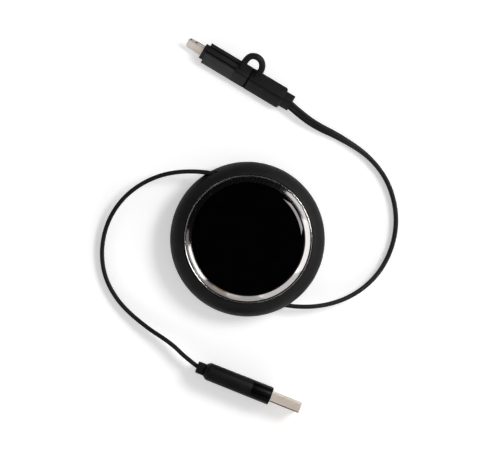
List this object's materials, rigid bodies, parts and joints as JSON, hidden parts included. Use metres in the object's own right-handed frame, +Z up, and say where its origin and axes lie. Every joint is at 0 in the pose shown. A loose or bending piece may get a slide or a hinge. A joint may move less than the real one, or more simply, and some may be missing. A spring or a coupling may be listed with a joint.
{
  "type": "retractable charging cable",
  "caption": "Round spring-return cable reel with a flat cable out of each side, a USB plug on one end and a micro plug with a tethered phone adapter on the other.",
  "frame": {"origin": "middle of the reel's base, on the table", "axes": "+Z up along the spool's axis; seen from above with +Y up the picture, the USB plug lies to the -Y side and the phone plug to the +Y side"},
  "size_m": [0.1271, 0.159, 0.0207],
  "materials": {
    "soft_touch": "soft-touch black paint, very matte",
    "bright_chrome": "bright plated",
    "gloss_black": "polished black",
    "spool_plastic": "natural moulded acetal",
    "spring_steel": "tempered strip",
    "cable_jacket": "matte black flat jacket",
    "plug_plastic": "black moulded grip",
    "plated_metal": "nickel plated sheet, warm tone",
    "contact_gold": "gold flashed contacts",
    "tongue_plastic": "black insulator",
    "board_laminate": "green solder mask",
    "nose_plastic": "dark brownish moulding",
    "tether_rubber": "black rubber"
  },
  "bodies": {
    "reel_case": {"lower_shell": "soft_touch", "upper_shell": "soft_touch", "chrome_bezel": "bright_chrome", "gloss_disc": "gloss_black", "usb_plug_sleeve": "gloss_black", "case_screw": "spring_steel", "usb_cable": "cable_jacket", "phone_cable": "cable_jacket", "usb_plug_housing": "plug_plastic", "micro_plug_housing": "plug_plastic", "usb_plug_shell": "plated_metal", "micro_plug_shell": "plated_metal", "micro_plug_latches": "plated_metal", "usb_plug_contacts": "contact_gold", "micro_plug_contacts": "contact_gold", "usb_plug_tongue": "tongue_plastic", "micro_plug_tongue": "tongue_plastic", "tether_strap": "tether_rubber"},
    "spool": {"cable_spool": "spool_plastic", "spool_cap": "spool_plastic", "power_spring": "spring_steel", "upper_winding": "cable_jacket", "lower_winding": "cable_jacket"},
    "pawl": {"ratchet_pawl": "spool_plastic"},
    "adapter": {"adapter_housing": "plug_plastic", "adapter_socket_shell": "plated_metal", "adapter_socket_contacts": "contact_gold", "adapter_socket_tongue": "tongue_plastic", "adapter_board": "board_laminate", "tab_collar": "nose_plastic", "phone_tab": "plated_metal", "phone_tab_contacts": "contact_gold"}
  },
  "joints": [
    {"name": "spool_spin", "type": "hinge", "parent": "reel_case", "child": "spool", "pos_m": [0, 0, 0.01], "axis": [0, 0, 1], "range_deg": [-330, 1080], "deforming": ["power_spring"]},
    {"name": "pawl_swing", "type": "hinge", "parent": "reel_case", "child": "pawl", "pos_m": [-0.009, -0.021, 0.0025], "axis": [0, 0, -1], "range_deg": [0, 28.6]},
    {"name": "adapter_pull", "type": "slide", "parent": "reel_case", "child": "adapter", "axis": [-0.859, 0.512, 0], "range_m": [0, 0.008], "deforming": ["tether_strap"]}
  ]
}
